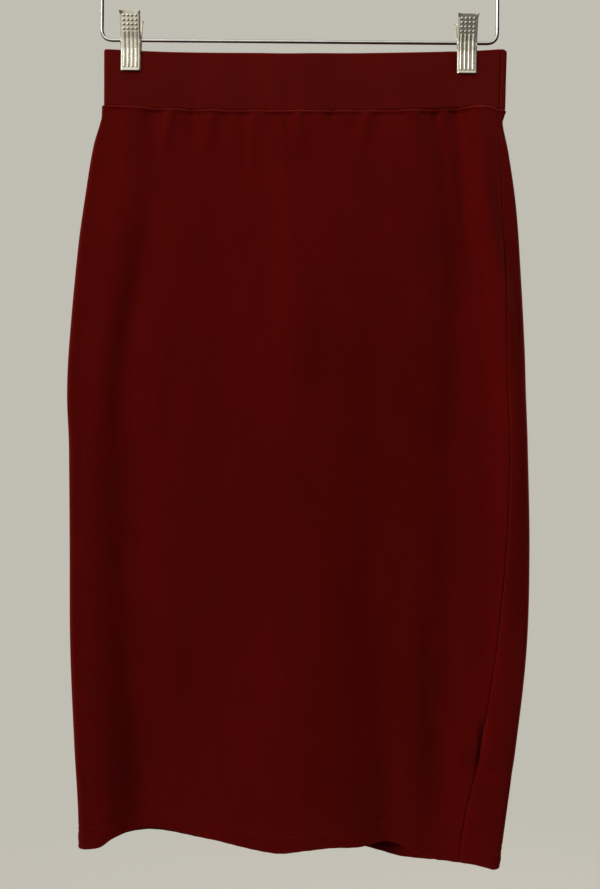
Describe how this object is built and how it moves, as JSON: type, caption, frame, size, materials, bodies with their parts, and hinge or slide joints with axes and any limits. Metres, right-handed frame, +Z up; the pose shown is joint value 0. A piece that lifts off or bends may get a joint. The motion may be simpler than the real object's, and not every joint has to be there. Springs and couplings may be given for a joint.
{
  "type": "pencil skirt on a wire clip hanger",
  "caption": "Pull-on jersey pencil skirt with a wide elastic waistband, hanging flat from the two clips of a wire hanger.",
  "frame": {"origin": "the inside top of the hanger's hook, where a rail carries it", "axes": "+Z up, +X to the right as seen from the front of the skirt, +Y from its front to its back"},
  "size_m": [0.4172, 0.0431, 0.9507],
  "materials": {
    "jersey": "matt dark maroon cotton and elastane jersey with a slight nap",
    "waistband": "the same maroon jersey folded over wide elastic",
    "wire": "bright chrome-plated steel wire",
    "clip_metal": "bright nickel-plated pressed steel",
    "spring_steel": "plain spring wire"
  },
  "bodies": {
    "root": {"front_panel": "jersey", "back_panel": "jersey", "waistband_front": "waistband", "waistband_back": "waistband", "hanger_frame": "wire", "hanger_hook": "wire", "clip_left_front_leaf": "clip_metal", "clip_left_rear_leaf": "clip_metal", "clip_left_spring": "spring_steel", "clip_right_front_leaf": "clip_metal", "clip_right_rear_leaf": "clip_metal", "clip_right_spring": "spring_steel"}
  },
  "joints": []
}
